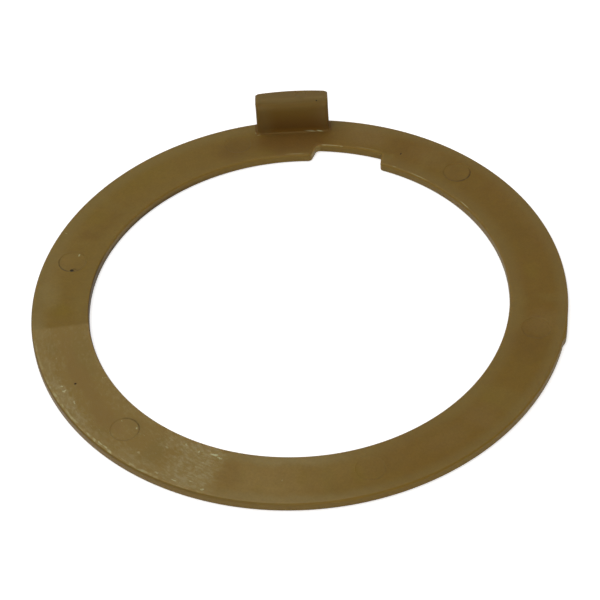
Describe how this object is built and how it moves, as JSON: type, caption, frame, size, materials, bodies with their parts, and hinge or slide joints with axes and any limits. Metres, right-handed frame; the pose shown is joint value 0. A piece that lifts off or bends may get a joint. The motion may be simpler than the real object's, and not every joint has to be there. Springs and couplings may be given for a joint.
{
  "type": "lugged thrust washer",
  "caption": "Thin moulded nylon thrust washer with an upright anti-turn lug on its rim and a square key notch in its bore.",
  "frame": {"origin": "on the ring's axis, at the height of the flat bottom face", "axes": "+Z along the ring's axis towards the free end of the lug; +Y through the middle of the key notch; +X towards the trimmed gate on the rim"},
  "size_m": [0.0903, 0.09, 0.0086],
  "materials": {
    "amber_nylon": "amber moulded nylon, slightly cloudy, satin skin with a few scuffs and dark specks"
  },
  "bodies": {
    "root": {"thrust_washer": "amber_nylon"}
  },
  "joints": []
}
